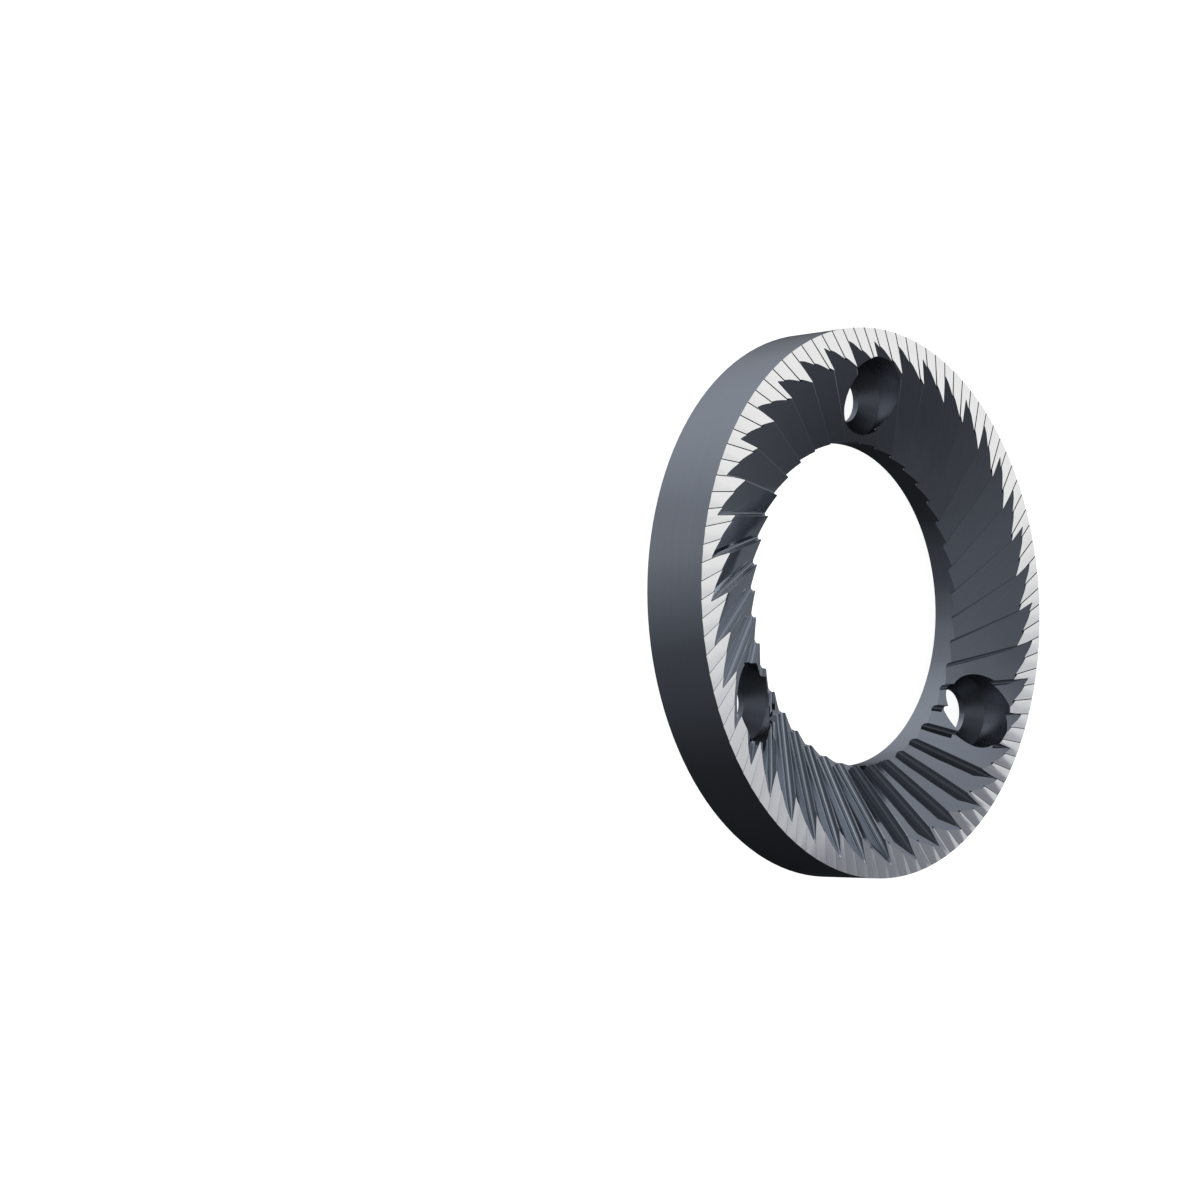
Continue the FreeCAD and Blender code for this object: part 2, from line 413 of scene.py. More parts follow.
@dataclass(frozen=True)
class Burr:
    """The toothed ring: a merged copy of the CAD solid, with its surfaces sorted by finish.

    The lengths are the solid's own. The other values tell its faces and edges apart.

    Attributes:
        fine_depth: How deep below the top the ground faces reach.
        fine_inner: The radius at which the grooves of the fine teeth end.
        groove_depth: How deep below the top the grooves reach.
        line_share: How far a groove reaches beside its tooth's line, in pitches.
        merge: The distance within which loose corners are welded.
        crease: The angle from which an edge is sharp.
        round_crease: The same angle between two upright faces.
        crest_round: The width of the rounded coarse crests.
        crest_segments: The number of steps in that round.
        crest_profile: Its shape, half for a round arc.
        crest_start: Where the crests begin, as a multiple of the bore's radius.
        back_share: The part of the height over which the back's inner walls reach.
        upright: The most that an upright face looks up or down.
        facet_lift: The least and most that a coarse tooth's facet looks up.
        land_lift: The least that a ground face looks up.
        cone_lift: The least that a countersink looks up.
        back_lift: The most that a face of the back looks up.
        straight: How straight out or in a turned wall looks.
        to_axis: How straight a screw hole's wall looks at the hole's axis.
        finishes: The finish of each surface, painted shade on the grooves and countersunk cones.
    """

    node: str = "burr"
    coarse: ToothRow = ToothRow(count=40, offset=10.5 * MM, tip_radius=30.6 * MM)
    fine: ToothRow = ToothRow(count=100, offset=12.9 * MM, tip_radius=30.6 * MM)
    outer_radius: float = 32.0 * MM
    bore_radius: float = 19.0 * MM
    height: float = 8.1 * MM
    screws: int = 3
    screw_circle: float = 24.3 * MM
    screw_head: float = 4.5 * MM
    fine_depth: float = 0.3 * MM
    fine_inner: float = 26.6 * MM
    groove_depth: float = 0.2 * MM
    line_share: float = 0.08
    merge: float = 0.001 * MM
    crease: float = math.radians(8.0)
    round_crease: float = math.radians(35.0)
    crest_round: float = 0.10 * MM
    crest_segments: int = 3
    crest_profile: float = 0.5
    crest_start: float = 1.003
    back_share: float = 0.3
    upright: float = 0.02
    facet_lift: Pair = (0.8, 0.97)
    land_lift: float = 0.97
    cone_lift: float = 0.3
    back_lift: float = -0.2
    straight: float = 0.9
    to_axis: float = 0.6
    finishes: dict[Surface, SteelFinish] = field(default_factory=lambda: dict(FINISHES))

    def build(self) -> bpy.types.Object:
        """Make the dressed ring, give it its body and its finishes, and hide the CAD node it
        replaces.

        Returns:
            The finished object.
        """
        mesh = self.merged_mesh()
        piece = place_object("burr_ring", mesh)
        for surface in Surface:
            mesh.materials.append(self.finishes[surface].material())
        self.sort_surfaces(mesh)
        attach(piece, "root")
        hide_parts(self.node)
        return piece

    def merged_mesh(self) -> bpy.types.Mesh:
        """Copy the solid's mesh, weld its loose triangles and mark its creases sharp.

        Returns:
            The new mesh.
        """
        solid = bmesh.new()
        solid.from_mesh(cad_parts[self.node].data)
        bmesh.ops.remove_doubles(solid, verts=solid.verts, dist=self.merge)
        bmesh.ops.recalc_face_normals(solid, faces=solid.faces)
        self.ease_crests(solid)
        for face in solid.faces:
            face.smooth = True
        for edge in solid.edges:
            edge.smooth = edge.is_manifold and edge.calc_face_angle() < self.limit(edge)
        mesh = bpy.data.meshes.new("burr_ring")
        solid.to_mesh(mesh)
        solid.free()
        return mesh

    def ease_crests(self, solid: bmesh.types.BMesh) -> None:
        """Round the sharp crests of the coarse teeth a little.

        Args:
            solid: The merged mesh, changed in place.
        """
        crests = [edge for edge in solid.edges if self.is_crest(edge)]
        ends = {vertex for edge in crests for vertex in edge.verts}
        bmesh.ops.bevel(solid, geom=[*crests, *ends], offset=self.crest_round, offset_type="OFFSET",
                        segments=self.crest_segments, profile=self.crest_profile, affect="EDGES",
                        clamp_overlap=True, loop_slide=True)

    def is_crest(self, edge: bmesh.types.BMEdge) -> bool:
        """Tell whether an edge lies between a coarse tooth's upright wall and the next facet.

        Args:
            edge: An edge of the merged mesh.

        Returns:
            True for a crest that is clear of the bore, the fine teeth and the screw heads.
        """
        if not edge.is_manifold or not edge.is_convex:
            return False
        wall, facet = sorted(face.normal.z for face in edge.link_faces)
        least, most = self.facet_lift
        middle = (edge.verts[0].co + edge.verts[1].co) / 2.0
        radius = math.hypot(middle.x, middle.y)
        between = self.bore_radius * self.crest_start < radius < self.coarse.tip_radius
        low = middle.z < self.height - self.groove_depth
        return (abs(wall) < self.upright and least < facet < most and between and low
                and self.off_screws(middle))

    def off_screws(self, place: Vector) -> bool:
        """Tell whether a place lies outside every screw head.

        Args:
            place: The place, of which the height isn't looked at.

        Returns:
            True if no screw head's recess holds it.
        """
        for hole in range(self.screws):
            turn = hole * math.tau / self.screws
            beside = math.hypot(place.x - self.screw_circle * math.cos(turn),
                                place.y - self.screw_circle * math.sin(turn))
            if beside < self.screw_head * JUST_OVER:
                return False
        return True

    def limit(self, edge: bmesh.types.BMEdge) -> float:
        """Return the angle from which an edge is a crease: larger on round, upright walls."""
        upright = all(abs(face.normal.z) < self.upright for face in edge.link_faces)
        return self.round_crease if upright else self.crease

    def sort_surfaces(self, mesh: bpy.types.Mesh) -> None:
        """Give every face its finish, and every corner its place in the grain.

        Turned is a face that looks straight out at the rim, straight in at the bore or near the
        back, or down. Of the others, drilled is one that looks at the nearest screw hole's axis
        within the screw head's radius, and countersunk if it also looks up; those countersunk
        faces get a near-black tint that is painted shade in the recesses. Of the rest, ground is
        one that lies within the fine teeth's depth and looks straight up. Grooved is one beside
        a fine tooth's line that isn't ground, whose lowest corner lies within the groove's
        depth; those faces get a near-black tint that is painted shade in the fine lines. All
        that is left is milled.

        Args:
            mesh: The merged mesh.
        """
        count = len(mesh.polygons)
        centre, normal = np.empty(count * 3), np.empty(count * 3)
        mesh.polygons.foreach_get("center", centre)
        mesh.polygons.foreach_get("normal", normal)
        centre, normal = centre.reshape(-1, 3), normal.reshape(-1, 3)
        radius = np.hypot(centre[:, 0], centre[:, 1])
        outward = (centre[:, 0] * normal[:, 0] + centre[:, 1] * normal[:, 1]) / radius
        upward = normal[:, 2]

        turns = np.arange(self.screws) * math.tau / self.screws
        axes = self.screw_circle * np.stack((np.cos(turns), np.sin(turns)), axis=1)
        offsets = axes[None] - centre[:, None, :2]
        nearest = np.argmin(np.linalg.norm(offsets, axis=2), axis=1)
        offset = offsets[np.arange(count), nearest]
        reach = np.linalg.norm(offset, axis=1)
        inward = (offset * normal[:, :2]).sum(axis=1) / np.maximum(reach, TINY)

        rim = (outward > self.straight) & (radius > self.outer_radius * JUST_UNDER)
        at_bore = radius < self.bore_radius * JUST_OVER
        near_back = centre[:, 2] < self.back_share * self.height
        inner = (outward < -self.straight) & (at_bore | near_back)
        turned = (upward < self.back_lift) | rim | inner
        drilled = (reach < self.screw_head * JUST_OVER) & (inward > self.to_axis) & ~turned
        top = centre[:, 2] > self.height - self.fine_depth
        ground = top & (upward > self.land_lift)
        # Faces in the fine grooves, which take the near-black tint of painted shade.
        painted_shade_grooves = self.lowest(mesh) > self.height - self.groove_depth
        painted_shade_grooves &= ~ground & self.fine.beside_line(centre, self.line_share)
        painted_shade_grooves &= (radius > self.fine_inner) & (outward < self.straight)

        kinds = np.full(count, int(Surface.MILLED))
        kinds[ground] = Surface.GROUND
        kinds[painted_shade_grooves] = Surface.GROOVED
        kinds[turned] = Surface.TURNED
        kinds[drilled] = Surface.DRILLED
        # Countersunk faces take the near-black tint of painted shade in the recesses.
        kinds[drilled & (upward > self.cone_lift)] = Surface.COUNTERSUNK
        mesh.polygons.foreach_set("material_index", kinds.astype(np.int32))
        self.write_grain(mesh, centre, kinds, axes[nearest])

    def corners(self, mesh: bpy.types.Mesh) -> np.ndarray:
        """Look up the place of every face's corners.

        Args:
            mesh: The merged mesh.

        Returns:
            Places, one per row, face after face.
        """
        places = np.empty(len(mesh.vertices) * 3)
        mesh.vertices.foreach_get("co", places)
        vertex = np.empty(len(mesh.loops), dtype=np.int32)
        mesh.loops.foreach_get("vertex_index", vertex)
        return places.reshape(-1, 3)[vertex]

    def lowest(self, mesh: bpy.types.Mesh) -> np.ndarray:
        """Find the height of each face's lowest corner.

        Args:
            mesh: The merged mesh.

        Returns:
            One height for each face.
        """
        first = np.empty(len(mesh.polygons), dtype=np.int32)
        mesh.polygons.foreach_get("loop_start", first)
        return np.minimum.reduceat(self.corners(mesh)[:, 2], first)

    def write_grain(self, mesh: bpy.types.Mesh, centre: np.ndarray, kinds: np.ndarray,
                    axes: np.ndarray) -> None:
        """Store where each corner lies across and along the marks of its surface.

        On teeth the first part is the distance across the tooth's line, mixed with the height,
        the second the distance along it, and the third tells the teeth apart. On round surfaces
        the first part is the radius plus the height, and the others go round the axis.

        Args:
            mesh: The merged mesh.
            centre: The centre of each face.
            kinds: The surface of each face.
            axes: The nearest screw hole's axis for each face.
        """
        point = self.corners(mesh)
        sides = np.empty(len(mesh.polygons), dtype=np.int32)
        mesh.polygons.foreach_get("loop_total", sides)
        face = np.repeat(np.arange(len(sides)), sides)
        kind = kinds[face]

        grain = np.zeros_like(point)
        for surface, row in ((Surface.GROUND, self.fine), (Surface.GROOVED, self.fine),
                             (Surface.MILLED, self.coarse)):
            here = kind == surface
            number = row.numbers(centre)[face][here]
            along, across = row.coordinates(point[here], number)
            grain[here] = np.stack((across + RISE_IN_GRAIN * point[here, 2], along,
                                    number * self.height), axis=1)
        for surface, hub in ((Surface.TURNED, np.zeros((len(point), 2))),
                             (Surface.DRILLED, axes[face]), (Surface.COUNTERSUNK, axes[face])):
            here = kind == surface
            flat = point[here, :2] - hub[here]
            radius = np.hypot(flat[:, 0], flat[:, 1])
            grain[here] = np.stack((radius + point[here, 2], flat[:, 0], flat[:, 1]), axis=1)
        layer = mesh.attributes.new(GRAIN, "FLOAT_VECTOR", "CORNER")
        layer.data.foreach_set("vector", grain.ravel())


@dataclass(frozen=True)
class RootRounds:
    """The small rounds in the roots of the coarse gullets, one closed sliver along each wall.

    Across the tooth's line a sliver is bounded by the wall, by the facet and by an arc that
    touches both. It ends at the bore and at the screw heads that it meets.

    Attributes:
        burr: The ring whose roots are rounded.
        root_depth: How far the roots fall from the tips to the bore.
        tip_slope: The rise of a facet at the tip, for one of width.
        bore_slope: The same rise at the bore.
        radius: The radius of the rounds.
        growth: How fast the radius grows from the tip, for one of length.
        first_run: Where the rounds begin, from the tip.
        sunk: How deep the hidden corners lie in the steel.
        shortest: The shortest sliver that is made.
        segments: The number of steps in an arc.
        steps: The number of steps along a sliver.
        rounds: How often a meeting with a circle is worked out again.
        crease: The angle from which an edge is sharp.
        finish: The finish, which is the gullets' own.
    """

    burr: Burr
    root_depth: float = 4.16 * MM
    tip_slope: float = math.tan(math.radians(18.3))
    bore_slope: float = math.tan(math.radians(29.75))
    radius: float = 0.30 * MM
    growth: float = 0.12
    first_run: float = 0.3 * MM
    sunk: float = 0.02 * MM
    shortest: float = 0.1 * MM
    segments: int = 10
    steps: int = 14
    rounds: int = 4
    crease: float = math.radians(30.0)
    finish: SteelFinish = replace(MILLED_GULLETS, name="milled_roots")

    @property
    def reach(self) -> float:
        """Return how far along its line a tooth's tip lies from the middle of the line."""
        return math.sqrt(self.burr.coarse.tip_radius ** 2 - self.burr.coarse.offset ** 2)

    @property
    def run(self) -> float:
        """Return the length of a tooth's line from its tip to the bore."""
        return self.reach - math.sqrt(self.burr.bore_radius ** 2 - self.burr.coarse.offset ** 2)

    @property
    def outline(self) -> int:
        """Return how many points a section has: those of the arc and three in the steel."""
        return self.segments + 4

    def section(self, run: np.ndarray) -> tuple[np.ndarray, np.ndarray]:
        """Return the section's outline, one row for each of its points.

        The wall stands upright and the facet rises from its foot by slope * across. An arc of
        radius r that touches both has its middle at r across and r / cos + r * tan above the
        foot. The first row and the last two lie just inside the steel.

        Args:
            run: Distances from the tip, in one row for each point of the outline.

        Returns:
            Distances across the line, and heights.
        """
        slope = self.tip_slope + (self.bore_slope - self.tip_slope) * run / self.run
        lean = np.arctan(slope)
        radius = np.minimum(self.radius, self.growth * run)
        middle = radius / np.cos(lean) + radius * slope
        share = np.concatenate(([0.0], np.linspace(0.0, 1.0, self.segments + 1), [1.0, 1.0]))
        turn = math.pi + share[:, None] * (math.pi / 2.0 + lean)
        across = radius + radius * np.cos(turn)
        rise = middle + radius * np.sin(turn)
        across[0] = -self.sunk
        rise[-2] -= self.sunk
        across[-1] = -self.sunk
        rise[-1] = -self.sunk
        return across, self.burr.height - self.root_depth * run / self.run + rise

    def stop(self, centre: Pair, radius: float, meeting: Meeting) -> np.ndarray:
        """Find where each of the outline's points meets a circle.

        A line at a distance d beside the circle's centre meets it sqrt(radius^2 - d^2) before
        and after the centre. The point's own distance across depends on where that is, so it
        is worked out a few times over.

        Args:
            centre: The circle's centre, along the tooth's line and across it from the axis.
            radius: The circle's radius.
            meeting: Which of the two meetings is meant.

        Returns:
            One distance from the tip for each point, in a column.
        """
        across = np.zeros((self.outline, 1))
        for _ in range(self.rounds):
            beside = self.burr.coarse.offset + across - centre[1]
            half = np.sqrt(np.maximum(radius ** 2 - beside ** 2, 0.0))
            run = self.reach - (centre[0] + meeting * half)
            across = self.section(run)[0]
        return run

    def spans(self, angle: float) -> list[tuple[np.ndarray, np.ndarray]]:
        """Return where the slivers of one gullet start and stop, from the bore to the tip.

        Args:
            angle: The polar angle of the tooth's line.

        Returns:
            Pairs of columns of distances from the tip.
        """
        burr = self.burr
        cuts = []
        for hole in range(burr.screws):
            turn = hole * math.tau / burr.screws - angle
            centre = burr.screw_circle * math.cos(turn), -burr.screw_circle * math.sin(turn)
            beside = abs(burr.coarse.offset + self.radius - centre[1])
            if beside < burr.screw_head and centre[0] > 0.0:
                cuts.append(centre)
        start = self.stop((0.0, 0.0), burr.bore_radius, Meeting.TIPWARD)
        pairs = []
        for centre in sorted(cuts):
            pairs.append((start, self.stop(centre, burr.screw_head, Meeting.BOREWARD)))
            start = self.stop(centre, burr.screw_head, Meeting.TIPWARD)
        pairs.append((start, np.full_like(start, self.first_run)))
        return [pair for pair in pairs if np.min(pair[0] - pair[1]) > self.shortest]

    def build(self) -> bpy.types.Object:
        """Make all slivers as one mesh and give it its body and finish.

        Returns:
            The finished object.
        """
        row = self.burr.coarse
        share = np.linspace(0.0, 1.0, self.steps + 1)[None]
        points, grain, faces = [], [], []
        for number in range(row.count):
            angle = number * math.tau / row.count + row.turn
            for start, end in self.spans(angle):
                run = start + share * (end - start)
                across, height = self.section(run)
                along, beside = self.reach - run, row.offset + across
                place = np.stack((along * math.cos(angle) + beside * math.sin(angle),
                                  along * math.sin(angle) - beside * math.cos(angle), height),
                                 axis=-1)
                marks = np.stack((across + RISE_IN_GRAIN * height, along,
                                  np.full_like(along, number * self.burr.height)), axis=-1)
                faces.extend(self.shell(len(points) * run.size, run.shape))
                points.append(place.reshape(-1, 3))
                grain.append(marks.reshape(-1, 3))
        mesh = bpy.data.meshes.new("root_rounds")
        mesh.from_pydata(np.concatenate(points).tolist(), [], faces)
        layer = mesh.attributes.new(GRAIN, "FLOAT_VECTOR", "POINT")
        layer.data.foreach_set("vector", np.concatenate(grain).ravel())
        self.shade(mesh)
        mesh.materials.append(self.finish.material())
        piece = place_object("root_rounds", mesh)
        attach(piece, "root")
        return piece

    def shell(self, first: int, shape: tuple[int, int]) -> list[list[int]]:
        """Join one sliver's points: rings of four-sided faces and two ends.

        Args:
            first: The number of the sliver's first point.
            shape: How many points it has round its outline and along its length.

        Returns:
            The faces of the closed sliver, as numbers of points.
        """
        index = first + np.arange(shape[0] * shape[1]).reshape(shape)
        following = np.roll(index, -1, axis=0)
        sides = np.stack((index[:, :-1], index[:, 1:], following[:, 1:], following[:, :-1]),
                         axis=-1)
        return sides.reshape(-1, 4).tolist() + [index[:, 0].tolist(), index[::-1, -1].tolist()]

    def shade(self, mesh: bpy.types.Mesh) -> None:
        """Turn the faces outward and shade the arcs smooth.

        Args:
            mesh: The slivers' mesh, changed in place.
        """
        solid = bmesh.new()
        solid.from_mesh(mesh)
        bmesh.ops.recalc_face_normals(solid, faces=solid.faces)
        for face in solid.faces:
            face.smooth = True
        for edge in solid.edges:
            edge.smooth = edge.calc_face_angle() < self.crease
        solid.to_mesh(mesh)
        solid.free()


@dataclass(frozen=True)
class Eye:
    """The camera, at the photograph's viewing angle to the toothed face.

    Attributes:
        place: Where it stands, in millimetres.
        right: The picture's direction to the right.
        back: The direction from the picture towards the viewer.
        lens: The focal length, in millimetres.
        sensor: The width of the picture's sensor, in millimetres.
        nearest: The least distance that it sees, in metres.
    """

    place: Triple = (233.0432, -109.6987, 204.4971)
    right: Triple = (-0.59504, 0.33968, 0.72838)
    back: Triple = (0.66284, -0.30511, 0.68378)
    lens: float = 83.1596
    sensor: float = 36.0
    nearest: float = 0.01

    def axes(self) -> tuple[Vector, Vector, Vector]:
        """Square up the picture's axes.

        Returns:
            The picture's right, up and towards-the-viewer directions.
        """
        back = Vector(self.back).normalized()
        up = back.cross(Vector(self.right)).normalized()
        return up.cross(back), up, back

    def build(self) -> None:
        """Place the camera and make it the scene's."""
        lens = bpy.data.cameras.new("eye")
        lens.lens = self.lens
        lens.sensor_width = self.sensor
        lens.clip_start = self.nearest
        camera = place_object("eye", lens)
        rotation = Matrix(self.axes()).transposed().to_4x4()
        camera.matrix_world = Matrix.Translation(Vector(self.place) * MM) @ rotation
        bpy.context.scene.camera = camera


@dataclass(frozen=True)
class Spot:
    """A round soft patch in the surround.

    Attributes:
        aim: Its middle, in the picture's right, up and towards-the-viewer directions.
        edge: The angle from its middle at which it begins, in degrees.
        core: The angle within which it is full, in degrees.
        level: How much it counts there.
    """

    aim: Triple
    edge: float
    core: float
    level: float


@dataclass(frozen=True)
class SoftBox:
    """The large pale light that the flat lands mirror, with one dark corner.

    Attributes:
        spot: The whole light as a patch.
        turn: The polar angle towards which it fades.
        slant: How much the fade leans to the side.
        centre: The direction from which places in the light are measured.
        reach: Where the levels begin and end along the fade.
        levels: The light's greys along the fade.
        corner: The dark corner's grey.
        corner_edge: Where the corner starts and is full along the fade.
        corner_side: Where it is still full and where it has ended, to the side.
        near_edge: Where the light starts and is full, going away from the viewer.
    """

    spot: Spot = Spot(aim=(0.985, 0.050, -0.166), edge=24.0, core=15.0, level=1.0)
    turn: float = math.radians(57.0)
    slant: float = 0.6
    centre: Triple = (-0.7195, 0.3387, 0.6064)
    reach: Pair = (-0.15, 0.15)
    levels: tuple[float, ...] = (1.20, 1.21, 1.17, 1.04, 0.86, 0.71, 0.58)
    corner: float = 0.30
    corner_edge: Pair = (0.083, 0.091)
    corner_side: Pair = (0.010, 0.022)
    near_edge: Pair = (0.05, -0.01)

    def axes(self) -> tuple[Vector, Vector]:
        """Work out the light's two level directions.

        Returns:
            The direction in which it fades, and the one in which its corner ends.
        """
        fade = Vector((math.cos(self.turn), math.sin(self.turn), 0.0))
        side = Vector((-math.sin(self.turn), math.cos(self.turn), 0.0))
        return fade, side


@dataclass(frozen=True)
class Studio:
    """A pale floor, an even white surround and the soft shades that the steel mirrors.

    The shades are levels of light, fitted so that the steel looks as bright as the real one.

    Attributes:
        eye: The camera, whose axes the shades are laid out by.
        box: The large light.
        floor_side: The length of the floor's sides, in metres.
        floor_points: The number of grid points along a side.
        floor_tint: The floor's paint.
        floor_darker: How much of that tint is left in the darker clouds.
        floor_clouds: How fine the clouds are, per metre.
        floor_detail: How many finer layers they have.
        floor_span: The levels of noise that give the darker and the full tint.
        floor_roughness: The paint's roughness.
        floor_glow: The floor's own light.
        surround: The colour of the even surround and of the floor's glow.
        surround_strength: The strength of the even surround.
        lamp_height: The height of the lamp, in metres.
        lamp_side: Its width, in metres.
        lamp_power: Its power, in watts.
        front: The greys on the viewer's side, from below to above.
        away: The greys beyond.
        turn_over: Where the greys beyond start and are full, along the viewer's direction.
        hollow: The dark patch beyond and below.
        fill: The soft light at the viewer's place.
        high_fill: The one above it.
        low_fill: The weak one below it.
        fill_tint: The tint of these three.
        neutral_level: The level from which a grey has no chill.
        cool: What full chill adds to a grey's red, green and blue.
    """

    eye: Eye
    box: SoftBox = SoftBox()
    floor_side: float = 6.0
    floor_points: int = 3
    floor_tint: Triple = (0.86, 0.86, 0.86)
    floor_darker: float = 0.985
    floor_clouds: float = 6.0
    floor_detail: float = 2.0
    floor_span: Pair = (0.3, 0.7)
    floor_roughness: float = 0.9
    floor_glow: float = 0.90
    surround: Triple = (1.0, 1.0, 1.0)
    surround_strength: float = 0.35
    lamp_height: float = 0.9
    lamp_side: float = 0.9
    lamp_power: float = 1.0
    front: tuple[float, ...] = (0.020, 0.034, 0.053, 0.058, 0.084, 0.118, 0.137, 0.195, 0.218)
    away: tuple[float, ...] = (0.007, 0.024, 0.060, 0.092, 0.205, 0.292, 0.271, 0.388, 0.510)
    turn_over: Pair = (0.364, -0.128)
    hollow: Spot = Spot(aim=(-0.299, -0.171, -0.836), edge=47.3, core=12.5, level=0.95)
    fill: Spot = Spot(aim=(-0.02, 0.12, 0.99), edge=27.0, core=12.0, level=0.50)
    high_fill: Spot = Spot(aim=(-0.05, 0.70, 0.70), edge=25.0, core=10.0, level=0.36)
    low_fill: Spot = Spot(aim=(0.10, -0.62, 0.78), edge=45.0, core=18.0, level=0.05)
    fill_tint: Triple = (0.94, 0.985, 1.05)
    neutral_level: float = 1.1
    cool: Triple = (-0.11, -0.035, 0.13)

    def build(self) -> None:
        """Build the floor, the lamp and the world."""
        self.build_floor()
        self.build_lamp()
        self.build_world()
        view = bpy.context.scene.view_settings
        view.view_transform = "Standard"
        view.look = "None"

    def build_floor(self) -> None:
        """Lay the floor, a grid worked out from its side, that the steel doesn't mirror."""
        side = np.linspace(-0.5, 0.5, self.floor_points) * self.floor_side
        across, along = np.meshgrid(side, side, indexing="ij")
        points = np.stack((across, along, np.zeros_like(across)), axis=-1).reshape(-1, 3)
        index = np.arange(across.size).reshape(across.shape)
        faces = np.stack((index[:-1, :-1], index[1:, :-1], index[1:, 1:], index[:-1, 1:]), axis=-1)
        mesh = bpy.data.meshes.new("floor")
        mesh.from_pydata(points.tolist(), [], faces.reshape(-1, 4).tolist())
        floor = place_object("floor", mesh)
        floor.visible_glossy = False
        mesh.materials.append(self.floor_material())

    def floor_material(self) -> bpy.types.Material:
        """Mix the floor's matt paint: clouded a little, and partly lit from within.

        Returns:
            The finished material.
        """
        material = bpy.data.materials.new("floor_paint")
        material.use_nodes = True
        graph = Graph(material.node_tree)
        output = graph.add("ShaderNodeOutputMaterial")
        shader = graph.add("ShaderNodeBsdfPrincipled", Roughness=self.floor_roughness,
                           Emission_Strength=self.floor_glow)
        graph.join(shader.outputs["BSDF"], output.inputs["Surface"])
        place = graph.add("ShaderNodeTexCoord")
        cloud = graph.add("ShaderNodeTexNoise", Scale=self.floor_clouds, Detail=self.floor_detail)
        graph.join(place.outputs["Object"], cloud.inputs["Vector"])
        low, high = self.floor_span
        darker = tuple(self.floor_darker * part for part in self.floor_tint)
        paint = graph.ramp(cloud.outputs["Fac"], ((low, darker), (high, self.floor_tint)))
        graph.join(paint, shader.inputs["Base Color"])
        shader.inputs["Emission Color"].default_value = (*self.surround, 1.0)
        return material

    def build_lamp(self) -> None:
        """Hang one wide soft lamp over the floor, unseen by the camera and by the steel."""
        data = bpy.data.lights.new("lamp", "AREA")
        data.shape = "DISK"
        data.size = self.lamp_side
        data.energy = self.lamp_power
        lamp = place_object("lamp", data)
        lamp.location = (0.0, 0.0, self.lamp_height)
        lamp.visible_glossy = False
        lamp.visible_camera = False

    def shade(self, level: float) -> Triple:
        """Mix a grey that is the cooler the darker it is.

        The chill is one less level / neutral level, and each part is level * (1 + chill * cool).

        Args:
            level: The grey's level.

        Returns:
            The grey's red, green and blue.
        """
        chill = max(0.0, 1.0 - level / self.neutral_level)
        red, green, blue = (level * (1.0 + chill * part) for part in self.cool)
        return red, green, blue

    def spread(self, graph: Graph, value: bpy.types.NodeSocket,
               levels: Sequence[float]) -> bpy.types.NodeSocket:
        """Colour a value through greys at even places.

        Args:
            graph: The world's nodes.
            value: The socket that runs from 0 to 1.
            levels: The greys' levels.

        Returns:
            The colour socket.
        """
        last = len(levels) - 1
        stops = [(index / last, self.shade(level)) for index, level in enumerate(levels)]
        return graph.ramp(value, stops)

    def patch(self, graph: Graph, direction: bpy.types.NodeSocket,
              spot: Spot) -> bpy.types.NodeSocket:
        """Tell how far a direction lies inside a round patch.

        Args:
            graph: The world's nodes.
            direction: The direction's socket.
            spot: The patch.

        Returns:
            A socket that runs from 0 outside the patch to its level in its core.
        """
        aim = sum((axis * part for axis, part in zip(self.eye.axes(), spot.aim)), Vector())
        edge, core = (math.cos(math.radians(angle)) for angle in (spot.edge, spot.core))
        return graph.blend(graph.dot(direction, aim.normalized()), edge, core, 0.0, spot.level)

    def soft_box(self, graph: Graph, direction: bpy.types.NodeSocket) -> bpy.types.NodeSocket:
        """Colour the large light, which fades to one side and has a dark corner there.

        Args:
            graph: The world's nodes.
            direction: The direction's socket.

        Returns:
            The colour socket.
        """
        fade, side = self.box.axes()
        centre = Vector(self.box.centre)
        slanted = fade - side * self.box.slant
        low, high = self.box.reach
        place = graph.math("SUBTRACT", graph.dot(direction, slanted), slanted.dot(centre) + low)
        pale = self.spread(graph, graph.math("DIVIDE", place, high - low), self.box.levels)
        across = graph.math("SUBTRACT", graph.dot(direction, fade), fade.dot(centre))
        along = graph.math("SUBTRACT", graph.dot(direction, side), side.dot(centre))
        corner = graph.math("MULTIPLY", graph.blend(across, *self.box.corner_edge),
                            graph.blend(along, *self.box.corner_side, 1.0, 0.0))
        dark = graph.colour(self.shade(self.box.corner))
        return graph.mix("MIX", corner, pale, dark)

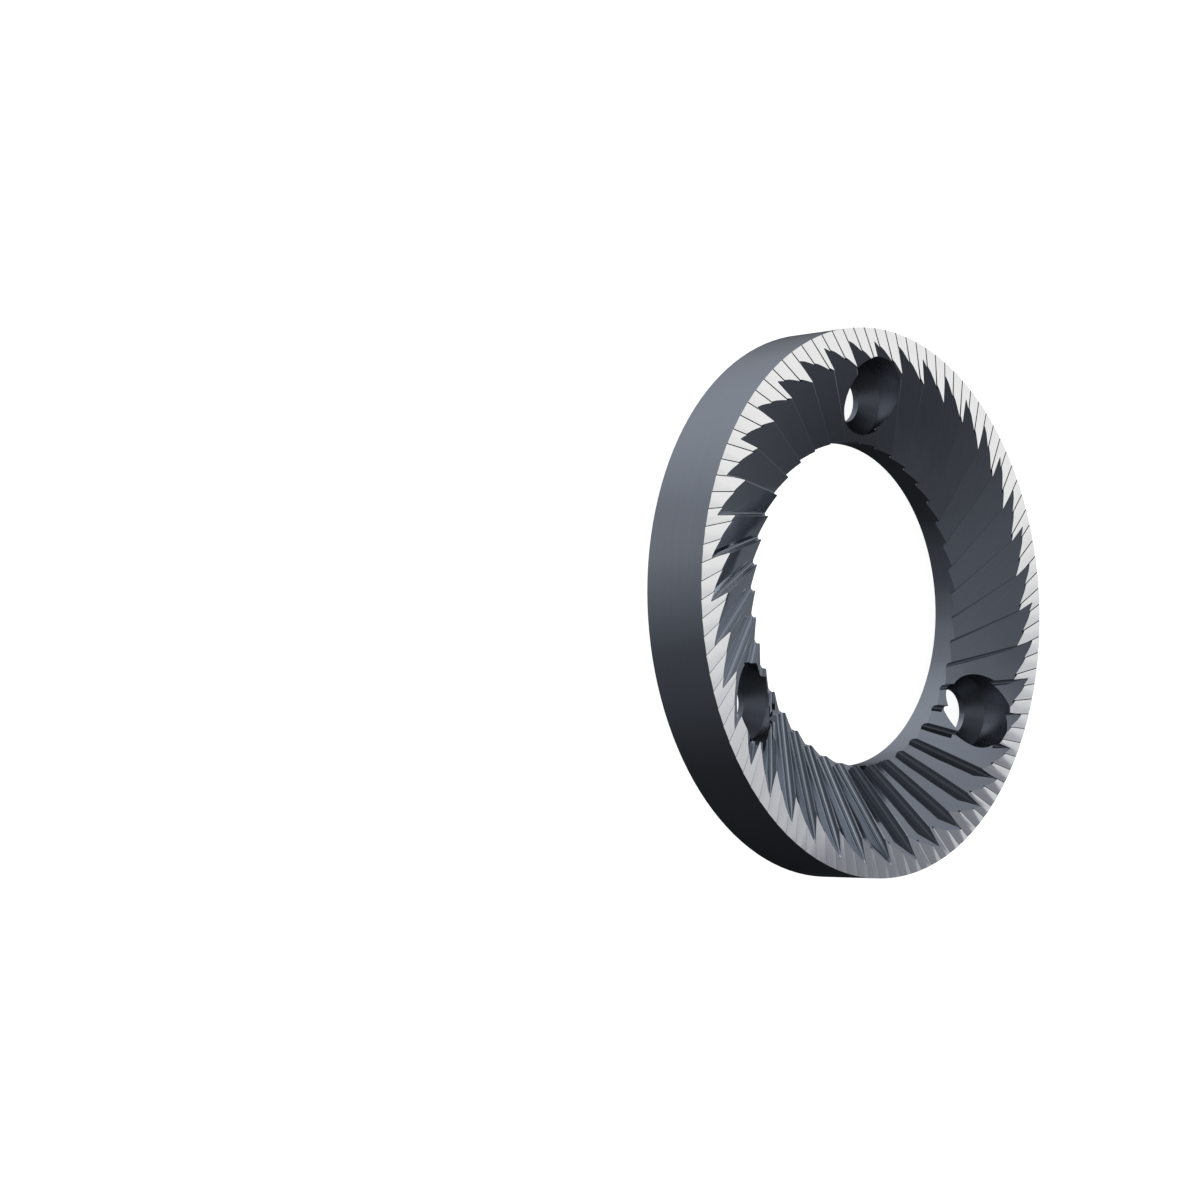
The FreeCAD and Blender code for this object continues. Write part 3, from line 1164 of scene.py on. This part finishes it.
    def build_world(self) -> None:
        """Surround the scene with white for the floor, and with shades for the steel.

        What the steel mirrors is two runs of cool greys, both dark below and light above in the
        picture's own upright direction: one on the viewer's side and a lighter one beyond. They
        blend into each other. Beyond and below lies a dark hollow, on the viewer's side lie
        three soft fill lights, and to the right the large light that the lands mirror.
        """
        world = bpy.data.worlds.new("surround")
        bpy.context.scene.world = world
        world.use_nodes = True
        graph = Graph(world.node_tree)
        output = graph.add("ShaderNodeOutputWorld")
        direction = graph.add("ShaderNodeTexCoord").outputs["Generated"]
        _, up, back = self.eye.axes()

        # The upright part of a direction runs from -1 to 1, and the greys run from 0 to 1.
        height = graph.math("ADD", graph.math("MULTIPLY", graph.dot(direction, up), 0.5), 0.5)
        side = graph.blend(graph.dot(direction, back), *self.turn_over)
        shades = graph.mix("MIX", side, self.spread(graph, height, self.front),
                           self.spread(graph, height, self.away))
        hollow = self.patch(graph, direction, self.hollow)
        shades = graph.mix("MIX", hollow, shades, graph.colour((0.0, 0.0, 0.0)))
        for fill in (self.fill, self.high_fill, self.low_fill):
            shades = graph.mix("ADD", self.patch(graph, direction, fill), shades,
                               graph.colour(self.fill_tint))
        box = graph.math("MULTIPLY", self.patch(graph, direction, self.box.spot),
                         graph.blend(graph.dot(direction, back), *self.box.near_edge))
        shades = graph.mix("MIX", box, shades, self.soft_box(graph, direction))

        mirrored = graph.add("ShaderNodeBackground")
        graph.join(shades, mirrored.inputs["Color"])
        white = graph.add("ShaderNodeBackground", Strength=self.surround_strength)
        white.inputs["Color"].default_value = (*self.surround, 1.0)
        ray = graph.add("ShaderNodeLightPath")
        chosen = graph.add("ShaderNodeMixShader")
        graph.join(ray.outputs["Is Glossy Ray"], chosen.inputs[0])
        graph.join(white.outputs[0], chosen.inputs[1])
        graph.join(mirrored.outputs[0], chosen.inputs[2])
        graph.join(chosen.outputs[0], output.inputs["Surface"])


def main() -> None:
    """Build the camera, the studio and the burr, in that order, and report each piece."""
    logging.basicConfig(level=logging.INFO, format="%(message)s")
    eye = Eye()
    eye.build()
    Studio(eye).build()
    burr = Burr()
    for maker in (burr, RootRounds(burr)):
        piece = maker.build()
        log.info("%s: %d faces", piece.name, len(piece.data.polygons))


if __name__ == "__main__":
    main()
